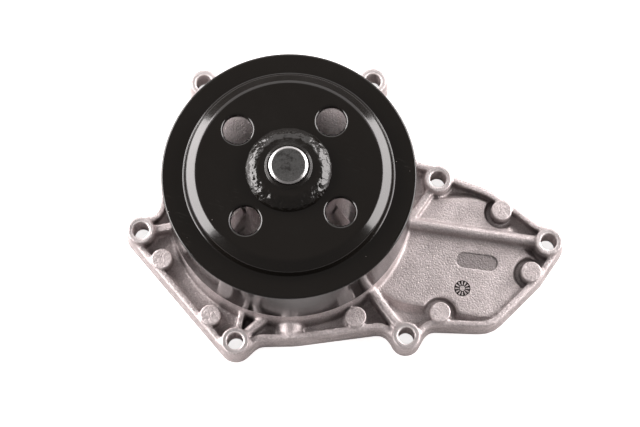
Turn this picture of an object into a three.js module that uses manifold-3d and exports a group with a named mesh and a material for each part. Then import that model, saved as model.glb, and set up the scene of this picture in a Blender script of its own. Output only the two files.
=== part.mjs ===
// Belt-driven coolant pump for a car engine: a die-cast aluminium body with a shaft
// bearing, a face seal, a vaned impeller on the wet side and a belt pulley on the dry side.
// Millimetres. Z runs along the shaft towards the pulley, and the flange's joint face is z = 0.
import * as THREE from 'three';
import { mergeVertices } from 'three/addons/utils/BufferGeometryUtils.js';
import Module from 'manifold-3d';

const wasm = await Module();
wasm.setup();

// ---------------------------------------------------------------- driving dimensions

const GAP = 0.3; // between pieces that touch or press together
const CHORD_ERROR = 0.1; // how far a facet may cut inside a true circle

// Heights of the casting above the joint face.
const LEDGE_TOP = 4.2;
const FLOOR_TOP = 5.2;
const PLATEAU_TOP = 8.2;
const RIM_TOP = 10.2;
const PAD_TOP = 11.6;
const RIB_TOP = 12.2;
const BOSS_TOP = 13;
const DOME_TOP = 18.6;
const TOWER_TOP = 58.8;
const LEDGE = 0.8; // how far the flange stands out past the rim
const RIM_WIDTH = 3;
const CAVITY_DEPTH = 2.6;

const BOLT_HOLE_RADIUS = 3.5;
const BOSS_RADIUS = 5.9;
const BOSS_FOOT_RADIUS = 6.5;
const PAD_RADIUS = 4.2;
const PAD_POCKET_RADIUS = 7.6;

const SHAFT_RADIUS = 8;
const SHAFT_TIP = 72.8;

const PULLEY = { radius: 52.6, wall: 2.6, sheet: 3, back: 24.3, ring: 59, web: 65.2 };
const PULLEY_STEP = { inner: 37.8, outer: 43.3 };
const PULLEY_HOLES = { count: 4, radius: 6, circle: 27.4, firstAngle: 140.4 };
const HUB = { radius: 11.7, back: 61.2, front: 70.4, beadRadius: 17.3 };

const BEARING = { radius: 15, bore: 12.7, back: 28.3, front: 60.3 };
const BALLS = { count: 7, radius: 2.7, circle: 10.4, rows: { rear: 36.2, front: 52.4 } };

const CHAMBER = { radius: 46, ceiling: 14.2 };
const SEAL_BORE = { radius: 18.2, back: 15.4, front: 26.5 };
const IMPELLER = { radius: 31, back: 2, disc: 11.3, sheet: 1.6, vanes: 7, vane: 1.8 };
const IMPELLER_HUB = { radius: 15, back: 1, front: 13.4, seat: 10.1 };

// Bolt bosses and cast pads, seen from the pulley side.
const BOSSES = {
  farRight: [111.6, -16.8],
  upperRight: [64.3, 11.4],
  topRight: [36.2, 56.3],
  topLeft: [-38.4, 55.6],
  left: [-64.7, -11.7],
  bottomLeft: [-23.4, -60.4],
  bottomRight: [49.7, -58.1],
};
const PADS = [
  [91.7, -2.4],
  [103.8, -29.8],
  [64.3, -47.6],
  [28.1, -49.6],
  [-34.2, -48.8],
  [-55.5, -24.1],
];

// ---------------------------------------------------------------- outlines

// One circle of a belt outline. A positive radius is passed on its outside, and a
// negative one is bent round from the other side, which makes a hollow corner.
const arc = (x, y, r) => ({ x, y, r });
const bossArc = ([x, y], r = 7) => arc(x, y, r);
const chamberArc = arc(0, 0, 58);
// The hollow between a bolt boss and the round chamber, at an angle round the shaft.
const hollowArc = (angle) => {
  const turn = THREE.MathUtils.degToRad(angle);
  return arc(63.4 * Math.cos(turn), 63.4 * Math.sin(turn), -5);
};

const FLANGE_OUTLINE = [
  bossArc(BOSSES.farRight, 7.2),
  arc(110.6, -1.8, -6),
  arc(92.5, -11, 12.8),
  arc(76, -12, 22.8),
  arc(76, 16.6, -4),
  bossArc(BOSSES.upperRight),
  arc(59.2, 25.1, -5),
  chamberArc,
  hollowArc(46.2),
  bossArc(BOSSES.topRight),
  hollowArc(68.4),
  chamberArc,
  hollowArc(113.4),
  bossArc(BOSSES.topLeft),
  hollowArc(135.8),
  chamberArc,
  hollowArc(179.2),
  bossArc(BOSSES.left),
  bossArc(BOSSES.bottomLeft),
  arc(-11.3, -66.2, -5.6),
  arc(0, -30, 30.4),
  arc(37.5, -61.7, -6),
  bossArc(BOSSES.bottomRight, 6.4),
  arc(62.2, -59.5, -5.2),
  arc(82, -42, 13),
  arc(103.8, -29.8, 6.3),
  arc(116.4, -29.6, -4),
];

// The raised floor of the right-hand lobe.
const PLATEAU_OUTLINE = [
  arc(100, -27, 8.5),
  arc(77.5, -12, 19),
  arc(52, -8, 14),
  arc(36, -24, 13),
  arc(50, -32, 13.5),
  arc(83.5, -41.5, 10.4),
];

// The middle of the seal's groove. It passes inside every bolt.
const SEAL_PATH = [
  arc(95, -13, 6),
  arc(78, -10, 10),
  bossArc(BOSSES.upperRight, -6.2),
  arc(0, 0, 51.5),
  arc(80, -40, 6.5),
  arc(97.5, -27.5, 4.6),
];

const inset = (circles, amount) => circles.map((c) => ({ ...c, r: c.r - amount }));

// An even number of facets that keeps a circle of this radius within the chord error.
const facets = (radius) => Math.max(
  16, 2 * Math.ceil(Math.PI / (2 * Math.acos(1 - CHORD_ERROR / Math.abs(radius)))));

// The closed outline that runs round the circles like a belt round pulleys.
function belt(circles) {
  const headings = circles.map((from, i) => {
    const to = circles[(i + 1) % circles.length];
    const distance = Math.hypot(to.x - from.x, to.y - from.y);
    return Math.atan2(to.y - from.y, to.x - from.x) - Math.asin((to.r - from.r) / distance);
  });
  const points = [];
  circles.forEach(({ x, y, r }, i) => {
    const start = headings[(i + circles.length - 1) % circles.length];
    const turn = Math.sign(r) * THREE.MathUtils.euclideanModulo(
      Math.sign(r) * (headings[i] - start), 2 * Math.PI);
    const pieces = Math.max(1, Math.round((facets(r) * Math.abs(turn)) / (2 * Math.PI)));
    for (let k = 0; k <= pieces; k += 1) {
      const heading = start + (turn * k) / pieces;
      points.push(new THREE.Vector2(x + r * Math.sin(heading), y - r * Math.cos(heading)));
    }
  });
  return new THREE.Shape(points);
}

// ---------------------------------------------------------------- solids

function solid(geometry) {
  geometry.deleteAttribute('normal');
  geometry.deleteAttribute('uv');
  const merged = mergeVertices(geometry, 1e-4);
  const corners = merged.index.array;
  const triangles = [];
  for (let i = 0; i < corners.length; i += 3) {
    const [a, b, c] = corners.slice(i, i + 3);
    if (a !== b && b !== c && c !== a) triangles.push(a, b, c);
  }
  return new wasm.Manifold(new wasm.Mesh({
    numProp: 3,
    vertProperties: new Float32Array(merged.attributes.position.array),
    triVerts: new Uint32Array(triangles),
  }));
}

function geometryOf(body) {
  const { vertProperties, triVerts } = body.getMesh();
  const geometry = new THREE.BufferGeometry();
  geometry.setAttribute('position', new THREE.BufferAttribute(vertProperties, 3));
  geometry.setIndex(new THREE.BufferAttribute(triVerts, 1));
  geometry.computeVertexNormals();
  return geometry;
}

const join = (bodies) => bodies.reduce((sum, body) => sum.add(body));

// An upright prism whose two ends slope in by `run` over a height of `rise`.
function prism(shape, bottom, top, run = 0, rise = run) {
  const geometry = new THREE.ExtrudeGeometry(shape, {
    depth: top - bottom - 2 * rise,
    bevelEnabled: run > 0,
    bevelThickness: rise,
    bevelSize: run,
    bevelOffset: -run,
    bevelSegments: 1,
  });
  geometry.translate(0, 0, bottom + rise);
  return solid(geometry);
}

// A round post with draft, standing on the point (x, y).
function post([x, y], footRadius, topRadius, bottom, top) {
  const geometry = new THREE.CylinderGeometry(
    topRadius, footRadius, top - bottom, facets(footRadius));
  geometry.rotateX(Math.PI / 2);
  geometry.translate(x, y, (bottom + top) / 2);
  return solid(geometry);
}

// A solid of revolution about Z from [radius, height] points. Rings close on themselves.
function turned(profile) {
  const points = profile.map(([radius, height]) => new THREE.Vector2(radius, height));
  const segments = Math.max(24, facets(Math.max(...profile.map(([radius]) => radius))));
  const onAxis = profile[0][0] === 0 && profile.at(-1)[0] === 0;
  if (!onAxis) points.push(points[0].clone());
  const geometry = new THREE.LatheGeometry(points, segments);
  geometry.rotateX(Math.PI / 2);
  return solid(geometry);
}

// The points of a circular arc in a turned profile, from one angle to another in degrees.
function round(radius, height, size, from, to, pieces = 4) {
  return Array.from({ length: pieces + 1 }, (_, k) => {
    const angle = THREE.MathUtils.degToRad(from + ((to - from) * k) / pieces);
    return [radius + size * Math.cos(angle), height + size * Math.sin(angle)];
  });
}

// A wall between two points, with a flat or a half-round top, sunk into what it joins.
function rib([x0, y0], [x1, y1], width, top, { roundTop = false, draft = 0.5 } = {}) {
  const half = width / 2;
  const section = new THREE.Shape();
  section.moveTo(-half - draft, 0);
  if (roundTop) {
    section.lineTo(-half, top - half);
    section.absarc(0, top - half, half, Math.PI, 0, true);
  } else {
    section.lineTo(-half, top);
    section.lineTo(half, top);
  }
  section.lineTo(half + draft, 0);
  const length = Math.hypot(x1 - x0, y1 - y0);
  const geometry = new THREE.ExtrudeGeometry(section, {
    depth: length, bevelEnabled: false, curveSegments: 8,
  });
  geometry.rotateX(Math.PI / 2);
  geometry.rotateZ(Math.PI / 2 + Math.atan2(y1 - y0, x1 - x0));
  geometry.translate(x0, y0, 0);
  return solid(geometry);
}

// ---------------------------------------------------------------- casting

function castShell() {
  const rimOutline = inset(FLANGE_OUTLINE, LEDGE);
  const flange = prism(belt(FLANGE_OUTLINE), 0, LEDGE_TOP);
  const rim = prism(belt(rimOutline), -RIM_TOP, RIM_TOP, 0.8);
  const tray = prism(belt(inset(rimOutline, RIM_WIDTH)), FLOOR_TOP, RIM_TOP + 10);
  const belowFlange = prism(new THREE.Shape([
    new THREE.Vector2(-200, -200),
    new THREE.Vector2(200, -200),
    new THREE.Vector2(200, 200),
    new THREE.Vector2(-200, 200),
  ]), -20, 0);
  return flange.add(rim.subtract(tray).subtract(belowFlange));
}

function plateau() {
  const slope = PLATEAU_TOP - FLOOR_TOP;
  const raised = prism(belt(PLATEAU_OUTLINE), 1, PLATEAU_TOP, slope, slope);
  const pockets = PADS.map((pad) => (
    post(pad, PAD_POCKET_RADIUS - 1, PAD_POCKET_RADIUS, FLOOR_TOP, PLATEAU_TOP + 1)));
  return raised.subtract(join(pockets));
}

// The dome over the impeller and the tower round the bearing, in one turned shape.
function domeAndTower() {
  return turned([
    [0, 1],
    [53.6, 1],
    [53.3, FLOOR_TOP],
    [50.4, DOME_TOP - 2.4],
    [49.2, DOME_TOP - 0.6],
    [47.2, DOME_TOP],
    [26, DOME_TOP + 1.4],
    [22.6, DOME_TOP + 5],
    [20.6, TOWER_TOP - 1.4],
    [19.4, TOWER_TOP],
    [0, TOWER_TOP],
  ]);
}

// Upright webs that stiffen the tower on top of the dome.
function towerWeb(angle) {
  const [inner, outer, foot, top, thickness] = [18, 44, 12, 44, 4];
  const outline = new THREE.Shape([
    new THREE.Vector2(inner, foot),
    new THREE.Vector2(outer, foot),
    new THREE.Vector2(outer, DOME_TOP + 1.6),
    new THREE.Vector2(30, 27),
    new THREE.Vector2(22.4, top),
    new THREE.Vector2(inner, top),
  ]);
  const geometry = new THREE.ExtrudeGeometry(outline, { depth: thickness, bevelEnabled: false });
  geometry.translate(0, 0, -thickness / 2);
  geometry.rotateX(Math.PI / 2);
  geometry.rotateZ(THREE.MathUtils.degToRad(angle));
  return solid(geometry);
}

// The half-round swelling that runs out from the dome to the rim.
function swelling() {
  const radius = 5.4;
  const centre = RIM_TOP + 0.6 - radius;
  const geometry = new THREE.CylinderGeometry(radius, radius, 14, facets(radius));
  geometry.translate(0, -52, centre);
  return solid(geometry);
}

function castRibs() {
  const { farRight, upperRight, left, bottomLeft, bottomRight } = BOSSES;
  return [
    rib([46, -6.9], farRight, 5, RIB_TOP, { roundTop: true }),
    rib([50, -9], upperRight, 3.2, RIB_TOP - 1),
    rib([33, -35.2], bottomRight, 3.6, RIB_TOP, { draft: 1.4 }),
    rib([-48, -8.7], left, 3.4, RIB_TOP - 1),
    rib([-20, -44], bottomLeft, 2.4, RIB_TOP - 1),
    rib([-6, -45.5], bottomLeft, 4, RIB_TOP - 0.8, { roundTop: true }),
  ];
}

// Chamber, seal bore, throat and bearing bore, cut along the axis in one go.
function wetAndBearingBores() {
  return turned([
    [0, -1],
    [CHAMBER.radius, -1],
    [CHAMBER.radius, CHAMBER.ceiling - 3],
    [CHAMBER.radius - 3, CHAMBER.ceiling],
    [23, CHAMBER.ceiling],
    [23, SEAL_BORE.back],
    [SEAL_BORE.radius, SEAL_BORE.back],
    [SEAL_BORE.radius, SEAL_BORE.front],
    [11.5, SEAL_BORE.front],
    [11.5, BEARING.back - GAP],
    [BEARING.radius + GAP, BEARING.back - GAP],
    [BEARING.radius + GAP, TOWER_TOP + 1],
    [0, TOWER_TOP + 1],
  ]);
}

function sealBand(halfWidth, bottom, top) {
  const outer = prism(belt(inset(SEAL_PATH, -halfWidth)), bottom, top);
  const inner = prism(belt(inset(SEAL_PATH, halfWidth)), bottom - 1, top + 1);
  return outer.subtract(inner);
}

// A shallow round-ended panel on the raised floor, where a nameplate would be cast.
function panelRecess() {
  const [length, width, depth] = [17.6, 7, 0.5];
  const run = (length - width) / 2;
  const slot = belt([arc(-run, 0, width / 2), arc(run, 0, width / 2)]);
  return prism(slot, PLATEAU_TOP - depth, PLATEAU_TOP + 1)
    .rotate([0, 0, -8])
    .translate([80.8, -24.5, 0]);
}

function housing() {
  const bosses = Object.values(BOSSES);
  const body = join([
    castShell(),
    plateau(),
    domeAndTower(),
    swelling(),
    ...castRibs(),
    ...[30, 90, 150, 210, 270, 330].map(towerWeb),
    ...bosses.map((at) => post(at, BOSS_FOOT_RADIUS, BOSS_RADIUS, 0, BOSS_TOP)),
    ...PADS.map((at) => post(at, PAD_RADIUS + 0.3, PAD_RADIUS, 1, PAD_TOP)),
  ]);
  const sideCavity = prism(belt(inset(SEAL_PATH, 4)), -1, CAVITY_DEPTH);
  const cuts = join([
    wetAndBearingBores(),
    sideCavity,
    sealBand(1.6, -1, 2.4),
    panelRecess(),
    ...bosses.map((at) => post(at, BOLT_HOLE_RADIUS, BOLT_HOLE_RADIUS, -1, BOSS_TOP + 1)),
  ]);
  return body.subtract(cuts);
}

// ---------------------------------------------------------------- shaft and bearing

// Half-round track for the balls, in profile order up the axis.
const track = (side, row) => {
  const size = BALLS.radius + GAP;
  const edge = side === 'shaft' ? SHAFT_RADIUS : BEARING.bore;
  const reach = THREE.MathUtils.radToDeg(Math.acos((edge - BALLS.circle) / size));
  return side === 'shaft'
    ? round(BALLS.circle, BALLS.rows[row], size, 360 - reach, reach, 5)
    : round(BALLS.circle, BALLS.rows[row], size, reach, -reach, 5);
};

function shaft() {
  const chamfer = 0.7;
  return turned([
    [0, 0],
    [SHAFT_RADIUS - chamfer, 0],
    [SHAFT_RADIUS, chamfer],
    ...track('shaft', 'rear'),
    ...track('shaft', 'front'),
    [SHAFT_RADIUS, SHAFT_TIP - chamfer],
    [SHAFT_RADIUS - chamfer, SHAFT_TIP],
    [0, SHAFT_TIP],
  ]);
}

function bearingOuterRing() {
  const { radius, bore, back, front } = BEARING;
  return turned([
    [bore, back],
    [radius - 0.6, back],
    [radius, back + 0.6],
    [radius, front - 0.6],
    [radius - 0.6, front],
    [bore, front],
    ...track('ring', 'front'),
    ...track('ring', 'rear'),
  ]);
}

// A crown cage: a ring beside the balls with a round pocket for each one.
function cage(row, side) {
  const height = BALLS.rows[row];
  const near = height - side * 0.8;
  const far = height + side * 4.2;
  const [low, high] = [Math.min(near, far), Math.max(near, far)];
  const ring = turned([[9.3, low], [11.6, low], [11.6, high], [9.3, high]]);
  const pockets = ballCentres(row).map(([x, y, z]) => {
    const geometry = new THREE.SphereGeometry(BALLS.radius + GAP, 10, 6);
    geometry.translate(x, y, z);
    return solid(geometry);
  });
  return ring.subtract(join(pockets));
}

function ballCentres(row) {
  return Array.from({ length: BALLS.count }, (_, k) => {
    const angle = (2 * Math.PI * k) / BALLS.count;
    return [BALLS.circle * Math.cos(angle), BALLS.circle * Math.sin(angle), BALLS.rows[row]];
  });
}

// The bearing's lip seal, seated in the ring and lightly wiping the shaft.
function bearingSeal(outside, inward) {
  const lip = SHAFT_RADIUS + GAP;
  const seat = BEARING.bore - GAP;
  const profile = [
    [lip, outside],
    [seat, outside],
    [seat, outside + inward * 1.4],
    [lip + 1.4, outside + inward * 1.4],
    [lip, outside + inward * 0.7],
  ];
  return turned(inward > 0 ? profile : profile.reverse());
}

// ---------------------------------------------------------------- face seal

function sealCup() {
  return turned([
    [16.9, 14.2],
    [20.5, 14.2],
    [20.5, 15.1],
    [17.9, 15.1],
    [17.9, 26.2],
    [10.5, 26.2],
    [10.5, 25.3],
    [16.9, 25.3],
  ]);
}

function carbonRing() {
  return turned([
    [9.4, 15.3],
    [11.8, 15.3],
    [11.8, 16.6],
    [12.8, 16.6],
    [12.8, 19.3],
    [9.4, 19.3],
  ]);
}

function sealRetainer() {
  return turned([
    [13.1, 16.9],
    [16.4, 16.9],
    [16.4, 17.7],
    [13.9, 17.7],
    [13.9, 20],
    [13.1, 20],
  ]);
}

function sealBellows() {
  return turned([
    [9.2, 19.6],
    [12.8, 19.6],
    [12.8, 20.6],
    [11.2, 21.3],
    [12.8, 22.4],
    [12.8, 23.9],
    [16.4, 23.9],
    [16.4, 25],
    [9.2, 25],
    [9.2, 22.6],
    [9.9, 21.6],
  ]);
}

function sealSpring() {
  const [radius, wire, turns, bottom, top] = [14.9, 0.6, 2.5, 18.6, 23];
  class Coil extends THREE.Curve {
    getPoint(t, target = new THREE.Vector3()) {
      const angle = 2 * Math.PI * turns * t;
      return target.set(
        radius * Math.cos(angle), radius * Math.sin(angle), bottom + (top - bottom) * t);
    }
  }
  const section = new THREE.Shape(Array.from({ length: 6 }, (_, k) => new THREE.Vector2(
    wire * Math.cos((k * Math.PI) / 3), wire * Math.sin((k * Math.PI) / 3))));
  return solid(new THREE.ExtrudeGeometry(section, { steps: 50, extrudePath: new Coil() }));
}

function seatCup() {
  return turned([
    [SHAFT_RADIUS + GAP, 10.4],
    [13, 10.4],
    [13, 13],
    [12.2, 13],
    [12.2, 11.4],
    [SHAFT_RADIUS + GAP, 11.4],
  ]);
}

function seatRing() {
  return turned([[8.6, 11.7], [11.9, 11.7], [11.9, 15], [8.6, 15]]);
}

// ---------------------------------------------------------------- impeller

function impellerHub() {
  const { radius, back, front, seat } = IMPELLER_HUB;
  const bore = SHAFT_RADIUS + GAP;
  return turned([
    [bore, back],
    [radius - 0.8, back],
    [radius, back + 0.8],
    [radius, front],
    [13.3, front],
    [13.3, seat],
    [bore, seat],
  ]);
}

// One vane, swept back along an arc as it goes outwards.
function vane(angle) {
  const { back, disc, radius, vane: thickness } = IMPELLER;
  const [inner, outer, sweep] = [16.4, radius - 0.6, 0.62];
  const steps = 6;
  const side = (offset) => Array.from({ length: steps + 1 }, (_, k) => {
    const share = k / steps;
    const distance = inner + (outer - inner) * share;
    const turn = -sweep * share ** 1.2 + offset / distance;
    return new THREE.Vector2(distance * Math.cos(turn), distance * Math.sin(turn));
  });
  const outline = [...side(-thickness / 2), ...side(thickness / 2).reverse()];
  return prism(new THREE.Shape(outline), back, disc + 0.5).rotate([0, 0, angle]);
}

function impeller() {
  const { radius, disc, sheet, vanes } = IMPELLER;
  const plate = turned([
    [IMPELLER_HUB.radius + GAP, disc],
    [radius, disc],
    [radius, disc + sheet],
    [IMPELLER_HUB.radius + GAP, disc + sheet],
  ]);
  return join([plate, ...Array.from({ length: vanes }, (_, k) => vane((360 * k) / vanes))]);
}

// ---------------------------------------------------------------- pulley

function pulley() {
  const { radius, wall, sheet, back, ring, web } = PULLEY;
  const { inner, outer } = PULLEY_STEP;
  const middle = (inner + outer) / 2;
  const half = (web - ring) / 2;
  const body = turned([
    [HUB.radius + GAP, web - sheet],
    [inner - 1.2, web - sheet],
    [middle - 1.4, ring + half - sheet],
    [outer - 1.4, ring - sheet],
    [radius - wall - 0.8, ring - sheet],
    [radius - wall, ring - sheet - 0.8],
    [radius - wall, back],
    [radius - 0.6, back],
    [radius, back + 0.6],
    [radius, ring - 0.8],
    [radius - 0.8, ring],
    [outer, ring],
    [middle + 0.7, ring + half - 0.6],
    [middle - 0.7, ring + half + 0.6],
    [inner, web],
    [HUB.radius + GAP, web],
  ]);
  const { count, radius: holeRadius, circle, firstAngle } = PULLEY_HOLES;
  const holes = Array.from({ length: count }, (_, k) => {
    const angle = THREE.MathUtils.degToRad(firstAngle + (360 * k) / count);
    const at = [circle * Math.cos(angle), circle * Math.sin(angle)];
    return post(at, holeRadius, holeRadius, web - sheet - 2, web + 2);
  });
  return body.subtract(join(holes));
}

// The hub sleeve with the weld bead that ties the pulley's web to it.
function pulleyHub() {
  const { radius, back, front, beadRadius } = HUB;
  const overWeb = PULLEY.web + GAP;
  return turned([
    [SHAFT_RADIUS + GAP, back],
    [radius, back],
    [radius, overWeb],
    [beadRadius, overWeb],
    [beadRadius - 0.6, overWeb + 1.6],
    [radius + 1.6, front - 1],
    [radius, front],
    [SHAFT_RADIUS + GAP, front],
  ]);
}

// ---------------------------------------------------------------- assembly

const FINISHES = {
  castAluminium: { color: 0xb9b0b1, roughness: 0.55, metalness: 0.85 },
  blackPaint: { color: 0x171513, roughness: 0.18, metalness: 0.1 },
  groundSteel: { color: 0xa8a7a4, roughness: 0.3, metalness: 1 },
  stainless: { color: 0xb8bbbf, roughness: 0.28, metalness: 1 },
  zincSteel: { color: 0x9ea2a6, roughness: 0.4, metalness: 0.95 },
  rubber: { color: 0x1c1b1b, roughness: 0.8, metalness: 0 },
  carbon: { color: 0x2b2a2c, roughness: 0.5, metalness: 0.1 },
  ceramic: { color: 0xe6e0d6, roughness: 0.35, metalness: 0 },
  cagePlastic: { color: 0xd9d2bd, roughness: 0.5, metalness: 0 },
};

const pump = new THREE.Group();

function place(group, name, body, finish) {
  const mesh = new THREE.Mesh(geometryOf(body), new THREE.MeshStandardMaterial(FINISHES[finish]));
  mesh.name = name;
  group.add(mesh);
}

const fixed = new THREE.Group();
place(fixed, 'housing', housing(), 'castAluminium');
place(fixed, 'body_seal', sealBand(1.3, 0, 2.1), 'rubber');
place(fixed, 'bearing_outer_ring', bearingOuterRing(), 'groundSteel');
place(fixed, 'bearing_seal_front', bearingSeal(BEARING.front - 0.4, -1), 'rubber');
place(fixed, 'bearing_seal_rear', bearingSeal(BEARING.back + 0.4, 1), 'rubber');
place(fixed, 'seal_cup', sealCup(), 'stainless');
place(fixed, 'seal_bellows', sealBellows(), 'rubber');
place(fixed, 'seal_spring', sealSpring(), 'stainless');
place(fixed, 'seal_retainer', sealRetainer(), 'stainless');
place(fixed, 'seal_carbon_ring', carbonRing(), 'carbon');

const rotor = new THREE.Group();
place(rotor, 'shaft', shaft(), 'groundSteel');
place(rotor, 'pulley', pulley(), 'blackPaint');
place(rotor, 'pulley_hub', pulleyHub(), 'blackPaint');
place(rotor, 'impeller', impeller(), 'zincSteel');
place(rotor, 'impeller_hub', impellerHub(), 'zincSteel');
place(rotor, 'seal_seat_cup', seatCup(), 'rubber');
place(rotor, 'seal_seat_ring', seatRing(), 'ceramic');

const ballSets = Object.entries({ front: 1, rear: -1 }).map(([row, side]) => {
  const set = new THREE.Group();
  place(set, `cage_${row}`, cage(row, side), 'cagePlastic');
  ballCentres(row).forEach(([x, y, z], k) => {
    const geometry = new THREE.SphereGeometry(BALLS.radius, 12, 7);
    const ball = new THREE.Mesh(geometry, new THREE.MeshStandardMaterial(FINISHES.groundSteel));
    ball.name = `ball_${row}_${k + 1}`;
    ball.position.set(x, y, z);
    set.add(ball);
  });
  return set;
});

pump.add(fixed, rotor, ...ballSets);

export default pump;
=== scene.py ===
# %% [markdown]
# # An engine water pump, piece by piece
# This lesson builds the visible model of a belt-driven coolant pump: a die-cast aluminium body
# with a gloss black pulley on its shaft, and the bearing, face seal and impeller inside it.
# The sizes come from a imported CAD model, which is loaded first and never changed. Each piece
# below stands for one CAD node, or keeps it, and gets a finish of its own.

import math

import bmesh
import bpy
from mathutils import Matrix, Vector, noise


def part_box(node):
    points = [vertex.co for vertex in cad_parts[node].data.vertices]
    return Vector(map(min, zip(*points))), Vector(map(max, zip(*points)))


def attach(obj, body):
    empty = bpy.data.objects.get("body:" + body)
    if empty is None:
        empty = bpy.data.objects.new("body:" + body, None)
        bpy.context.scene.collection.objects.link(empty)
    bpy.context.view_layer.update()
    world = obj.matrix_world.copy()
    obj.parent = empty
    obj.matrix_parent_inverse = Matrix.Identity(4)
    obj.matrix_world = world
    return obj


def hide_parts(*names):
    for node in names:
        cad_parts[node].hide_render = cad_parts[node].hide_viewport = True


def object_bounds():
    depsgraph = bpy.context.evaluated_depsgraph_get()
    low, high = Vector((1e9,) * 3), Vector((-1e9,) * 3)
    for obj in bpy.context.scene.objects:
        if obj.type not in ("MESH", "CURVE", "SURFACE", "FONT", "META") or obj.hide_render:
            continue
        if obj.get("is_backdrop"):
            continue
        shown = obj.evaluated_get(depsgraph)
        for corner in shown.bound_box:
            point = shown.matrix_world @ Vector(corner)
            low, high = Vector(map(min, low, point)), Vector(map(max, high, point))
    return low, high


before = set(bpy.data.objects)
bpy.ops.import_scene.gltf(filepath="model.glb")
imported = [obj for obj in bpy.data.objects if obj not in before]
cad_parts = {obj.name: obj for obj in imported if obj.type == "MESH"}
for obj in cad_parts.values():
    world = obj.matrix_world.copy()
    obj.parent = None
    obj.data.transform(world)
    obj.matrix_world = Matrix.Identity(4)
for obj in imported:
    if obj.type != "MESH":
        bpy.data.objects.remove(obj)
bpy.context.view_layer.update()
MM = 0.001

# %% [markdown]
# ## Camera and stage
# The pump lies on its joint face and is seen from almost straight above the pulley, tilted a
# little towards the lower edge. A long lens from 0.8 m keeps the perspective mild. The camera
# could be placed by hand in the viewport, but four numbers say it exactly: the point it looks
# at, the distance, the tilt and the focal length.

# %% Camera
AIM = Vector((12.8, -16.8, 59.0)) * MM
CAMERA_DISTANCE = 0.8
CAMERA_TILT = math.radians(15.23)

camera_data = bpy.data.cameras.new("camera")
camera_data.sensor_width = 36
camera_data.lens = 110.03
camera = bpy.data.objects.new("camera", camera_data)
camera.location = AIM + CAMERA_DISTANCE * Vector((0, -math.sin(CAMERA_TILT), math.cos(CAMERA_TILT)))
camera.rotation_euler = (CAMERA_TILT, 0, 0)
bpy.context.scene.collection.objects.link(camera)
bpy.context.scene.camera = camera
print("camera at", [round(v, 3) for v in camera.location])

# %% [markdown]
# ## Light
# Gloss black paint shows hardly any colour of its own: what is seen is the room in it. So the
# light is built for its reflections. Two soft boxes stand low on the left and the right, and
# draw the bright bands along the pulley's step and the hub's bead. A wider, weaker one behind
# lights the upper flanks of the ribs and leaves the lower ones dark. The room above is kept
# dim, so that the flat faces of the pulley stay black. Area lights are used because their
# shape shows in reflections, which a sun or a point light lacks.

# %% Soft boxes
STAGE_CENTRE = Vector((0.01, 0.0, 0.04))
LIGHT_TINT = (1.0, 0.96, 0.955)
SIDE_WIDTH, SIDE_HEIGHT = 1.10, 0.52


def soft_box(name, place, width, height, watts):
    """An area light at `place` that faces the pump, in metres."""
    data = bpy.data.lights.new(name, "AREA")
    data.shape = "RECTANGLE"
    data.size = width
    data.size_y = height
    data.energy = watts
    data.color = LIGHT_TINT
    lamp = bpy.data.objects.new(name, data)
    lamp.location = place
    lamp.rotation_euler = (STAGE_CENTRE - Vector(place)).to_track_quat("-Z", "Y").to_euler()
    bpy.context.scene.collection.objects.link(lamp)


soft_box("box_left", (-0.74, 0.16, 0.33), SIDE_WIDTH, SIDE_HEIGHT, 18.5)
soft_box("box_right", (0.78, 0.20, 0.33), SIDE_WIDTH, SIDE_HEIGHT, 15.5)
soft_box("box_back", (0.0, 0.95, 0.72), 2.0, 0.9, 8.0)

# %% [markdown]
# ### Room and floor
# The world is one dim even colour, like the far walls of a room. The floor is a plain sheet just
# under the joint face, so that the two never share a plane.

# %% Room and floor
ROOM_COLOUR = (0.185, 0.178, 0.176, 1)
world = bpy.data.worlds.new("room")
world.use_nodes = True
world.node_tree.nodes["Background"].inputs["Color"].default_value = ROOM_COLOUR
bpy.context.scene.world = world
bpy.context.scene.view_settings.view_transform = "Standard"

FLOOR_DROP = 0.02 * MM
FLOOR_HALF = 4.0
floor_mesh = bpy.data.meshes.new("floor")
floor_mesh.from_pydata(
    [(x * FLOOR_HALF, y * FLOOR_HALF, -FLOOR_DROP)
     for x, y in ((-1, -1), (1, -1), (1, 1), (-1, 1))], [], [(0, 1, 2, 3)])
floor = bpy.data.objects.new("floor", floor_mesh)
bpy.context.scene.collection.objects.link(floor)
floor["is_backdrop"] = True
print("floor", round(floor.dimensions.x, 1), "m wide")

# %% [markdown]
# ## A short way to write shader nodes
# A material in Blender is a graph of nodes. Written out in full, each node takes many lines, so
# `add` makes a node, sets its options and fills its inputs in one call. An input takes a plain
# value, or the output socket of another node, which makes the link.

# %% Node helper
def add(tree, kind, inputs=None, **options):
    """A shader node in `tree`, with its options set and its inputs filled or linked."""
    made = tree.nodes.new("ShaderNode" + kind)
    for key, value in options.items():
        setattr(made, key, value)
    for key, value in (inputs or {}).items():
        if isinstance(value, bpy.types.NodeSocket):
            tree.links.new(value, made.inputs[key])
        else:
            made.inputs[key].default_value = value
    return made


def maths(tree, operation, a, b=0.0, clamp=False):
    """One arithmetic step between two values."""
    return add(tree, "Math", {0: a, 1: b}, operation=operation, use_clamp=clamp).outputs[0]


def times(tree, a, b):
    """The product of two values."""
    return maths(tree, "MULTIPLY", a, b)


def clouds(tree, place, scale, detail, roughness=0.5):
    """Soft noise from 0 to 1, with `scale` lumps in a metre."""
    return add(tree, "TexNoise", {"Vector": place, "Scale": scale, "Detail": detail,
                                  "Roughness": roughness}).outputs[0]


def steps(tree, value, stops):
    """A ramp through (position, grey level) stops."""
    ramp = add(tree, "ValToRGB", {"Fac": value})
    elements = ramp.color_ramp.elements
    while len(elements) < len(stops):
        elements.new(0.5)
    for element, (position, level) in zip(elements, stops):
        element.position = position
        element.color = (level, level, level, 1)
    return ramp.outputs["Color"]


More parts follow.
